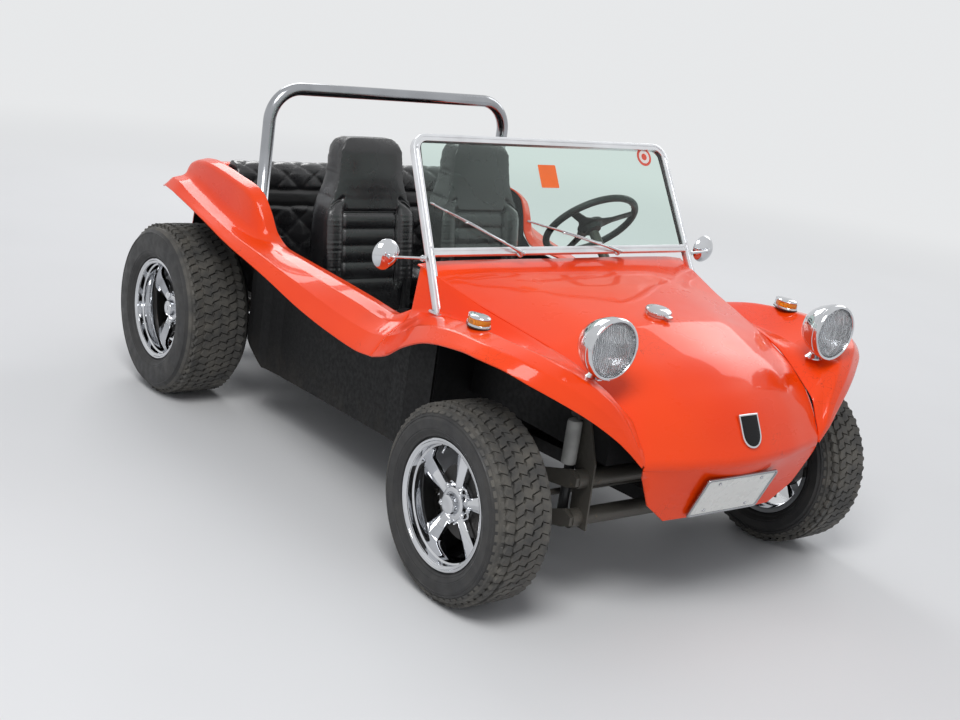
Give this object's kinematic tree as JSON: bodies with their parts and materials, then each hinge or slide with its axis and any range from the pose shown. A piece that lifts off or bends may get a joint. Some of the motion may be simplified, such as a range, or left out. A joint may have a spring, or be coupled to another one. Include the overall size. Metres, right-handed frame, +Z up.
{
  "type": "dune buggy",
  "caption": "Open two-plus-two dune buggy: flared tub body, roll hoop, framed windshield, rear flat engine, rolling and steering wheels.",
  "frame": {"origin": "centre of the car's outline on the ground it stands on", "axes": "+Z up, nose towards -Y, the car's left (driver's) side towards +X"},
  "size_m": [1.756, 3.1276, 1.345],
  "materials": {
    "body_paint": "gloss orange-red",
    "tub_black": "matt black",
    "tyre": "matt",
    "rim": "polished",
    "drum": "dull",
    "vinyl": "satin",
    "seat_frame": "satin",
    "frame_alu": "brushed",
    "glass": "clear",
    "stainless": "polished",
    "chrome": "mirror",
    "lamp_glass": "fluted",
    "amber": "clear amber",
    "red_lens": "clear red",
    "axle_black": "worn satin",
    "shock": "satin",
    "alloy": "cast",
    "engine": "cast",
    "shroud": "gloss",
    "exhaust": "heat-darkened",
    "wheel_rim": "satin",
    "wiper": "satin",
    "plate": "gloss white, blank",
    "badge": "gloss, blank"
  },
  "bodies": {
    "chassis": {"air_cleaner": "chrome", "bench_seat": "vinyl", "dashboard": "tub_black", "engine_block": "engine", "exhaust": "exhaust", "fan_shroud": "shroud", "floor_pan": "tub_black", "front_arms": "axle_black", "front_beam": "axle_black", "front_shocks": "shock", "front_wing_left": "body_paint", "front_wing_right": "body_paint", "fuel_cap": "chrome", "gear_lever": "chrome", "headlamp_lenses": "lamp_glass", "hood": "body_paint", "lamp_shells": "chrome", "mirror_left": "chrome", "mirror_right": "chrome", "nose_badge": "badge", "nose_panel": "body_paint", "number_plate": "plate", "rear_deck": "body_paint", "rear_floor": "tub_black", "rear_suspension": "axle_black", "rear_wing_left": "body_paint", "rear_wing_right": "body_paint", "roll_bar": "stainless", "seat_frames": "seat_frame", "seat_left": "vinyl", "seat_right": "vinyl", "steering_column": "axle_black", "tail_lamps": "red_lens", "transaxle": "alloy", "trunk_tub": "tub_black", "tub_side_left": "tub_black", "tub_side_right": "tub_black", "turn_lenses": "amber", "windshield_frame": "frame_alu", "windshield_glass": "glass", "wipers": "wiper"},
    "front_wheel_left": {"front_tyre_left": "tyre", "front_rim_left": "rim", "front_drum_left": "drum"},
    "front_wheel_right": {"front_tyre_right": "tyre", "front_rim_right": "rim", "front_drum_right": "drum"},
    "rear_wheel_left": {"rear_tyre_left": "tyre", "rear_rim_left": "rim", "rear_drum_left": "drum"},
    "rear_wheel_right": {"rear_tyre_right": "tyre", "rear_rim_right": "rim", "rear_drum_right": "drum"},
    "steered_knuckle_left": {"knuckle_left": "axle_black"},
    "steered_knuckle_right": {"knuckle_right": "axle_black"},
    "track_rods": {"tie_rods": "axle_black"},
    "hand_wheel": {"steering_wheel": "wheel_rim"}
  },
  "joints": [
    {"name": "steer_left", "type": "hinge", "parent": "chassis", "child": "steered_knuckle_left", "pos_m": [0.56, -1.086, 0.316], "axis": [0, 0, 1], "range_deg": [-28, 28]},
    {"name": "steer_right", "type": "hinge", "parent": "chassis", "child": "steered_knuckle_right", "pos_m": [-0.56, -1.086, 0.316], "axis": [0, 0, 1], "range_deg": [-28, 28]},
    {"name": "steering_wheel_turn", "type": "hinge", "parent": "chassis", "child": "hand_wheel", "pos_m": [0.322, -0.296, 0.998], "axis": [0, 0.7314, 0.682], "range_deg": [-405, 405]},
    {"name": "track_rod_slide", "type": "slide", "parent": "chassis", "child": "track_rods", "axis": [1, 0, 0], "range_m": [-0.056, 0.056]},
    {"name": "front_left_spin", "type": "hinge", "parent": "steered_knuckle_left", "child": "front_wheel_left", "pos_m": [0.73, -1.086, 0.316], "axis": [1, 0, 0], "continuous": true},
    {"name": "front_right_spin", "type": "hinge", "parent": "steered_knuckle_right", "child": "front_wheel_right", "pos_m": [-0.73, -1.086, 0.316], "axis": [1, 0, 0], "continuous": true},
    {"name": "rear_left_spin", "type": "hinge", "parent": "chassis", "child": "rear_wheel_left", "pos_m": [0.733, 0.946, 0.35], "axis": [1, 0, 0], "continuous": true},
    {"name": "rear_right_spin", "type": "hinge", "parent": "chassis", "child": "rear_wheel_right", "pos_m": [-0.733, 0.946, 0.35], "axis": [1, 0, 0], "continuous": true}
  ],
  "couplings": [
    {"joint": "steer_right", "follows": "steer_left", "ratio": 1},
    {"joint": "steering_wheel_turn", "follows": "steer_left", "ratio": 14.4},
    {"joint": "track_rod_slide", "follows": "steer_left", "m_per_rad": 0.11}
  ]
}
